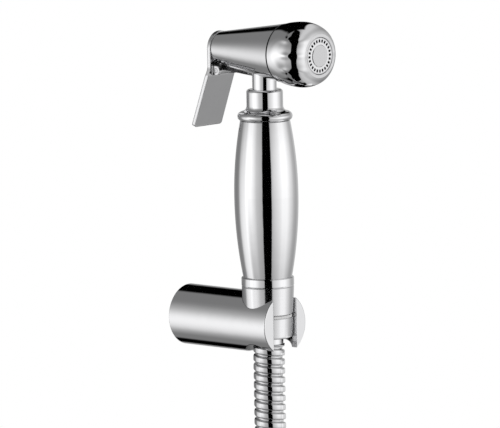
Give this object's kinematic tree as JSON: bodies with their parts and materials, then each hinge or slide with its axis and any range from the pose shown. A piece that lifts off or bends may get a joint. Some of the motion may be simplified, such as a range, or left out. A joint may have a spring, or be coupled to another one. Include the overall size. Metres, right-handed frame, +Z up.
{
  "type": "handheld bath sprayer",
  "caption": "Trigger spray handset on a metal hose, resting in the tapered seat of a round wall holder; the lever opens the water valve.",
  "frame": {"origin": "centre of the screw hole in the holder's wall face, on the arm's axis", "axes": "+Y into the wall along the arm's axis, +Z up along the handset, -Y the way the nozzle points, +X to the right seen from the front"},
  "size_m": [0.1688, 0.0925, 0.3965],
  "materials": {
    "polished_chrome": "polished plating",
    "satin_chrome": "satin plating with fine turning lines",
    "hose_steel": "polished interlocked strip",
    "brass": "machined",
    "steel": "bright stainless",
    "rubber": "matt",
    "plastic": "moulded"
  },
  "bodies": {
    "bracket": {"holder_arm": "polished_chrome", "wall_boss": "brass", "set_screw": "steel"},
    "hose": {"hose_swivel_sleeve": "satin_chrome", "swivel_ring": "plastic", "hose_ferrule": "polished_chrome", "hose_run": "hose_steel", "hose_coil": "hose_steel", "hose_tail": "hose_steel", "hose_tie": "plastic", "tail_ferrule": "polished_chrome"},
    "hose_end": {"tail_nut": "polished_chrome", "tail_washer": "rubber"},
    "handset": {"cone_nut": "satin_chrome", "hose_washer": "rubber", "swivel_stem": "brass", "swivel_oring": "rubber", "stem_clip": "steel", "handle_base": "polished_chrome", "handle_tube": "brass", "handle_shell": "polished_chrome", "handle_ferrule": "polished_chrome", "neck_oring": "rubber", "head_body": "polished_chrome", "gland_nut": "brass", "stem_orings": "rubber", "valve_seat": "brass", "seat_gasket": "rubber", "valve_spring": "steel", "nozzle_cap": "polished_chrome", "nozzle_oring": "rubber", "spray_plate": "satin_chrome", "diffuser": "plastic", "hinge_pin": "steel"},
    "valve": {"valve_stem": "brass", "poppet_washer": "rubber", "poppet_nut": "brass"},
    "lever": {"lever": "polished_chrome"}
  },
  "joints": [
    {"name": "hose_lift", "type": "slide", "parent": "bracket", "child": "hose", "axis": [0, 0, 1], "range_m": [0, 0.03]},
    {"name": "handset_swivel", "type": "hinge", "parent": "hose", "child": "handset", "pos_m": [0, -0.048, 0.0042], "axis": [0, 0, 1], "continuous": true},
    {"name": "hose_end_swivel", "type": "hinge", "parent": "hose", "child": "hose_end", "pos_m": [0.08415, -0.0805, -0.2467], "axis": [0, 0, 1], "continuous": true},
    {"name": "lever_pivot", "type": "hinge", "parent": "handset", "child": "lever", "pos_m": [0, -0.0246, 0.1114], "axis": [-1, 0, 0], "range_deg": [0, 12], "stiffness_Nm_per_rad": 0.5, "springref_deg": -5.73},
    {"name": "valve_slide", "type": "slide", "parent": "handset", "child": "valve", "axis": [0, 1, 0], "range_m": [0, 0.002], "deforming": ["valve_spring"]}
  ],
  "couplings": [
    {"joint": "valve_slide", "follows": "lever_pivot", "m_per_rad": 0.0095}
  ]
}
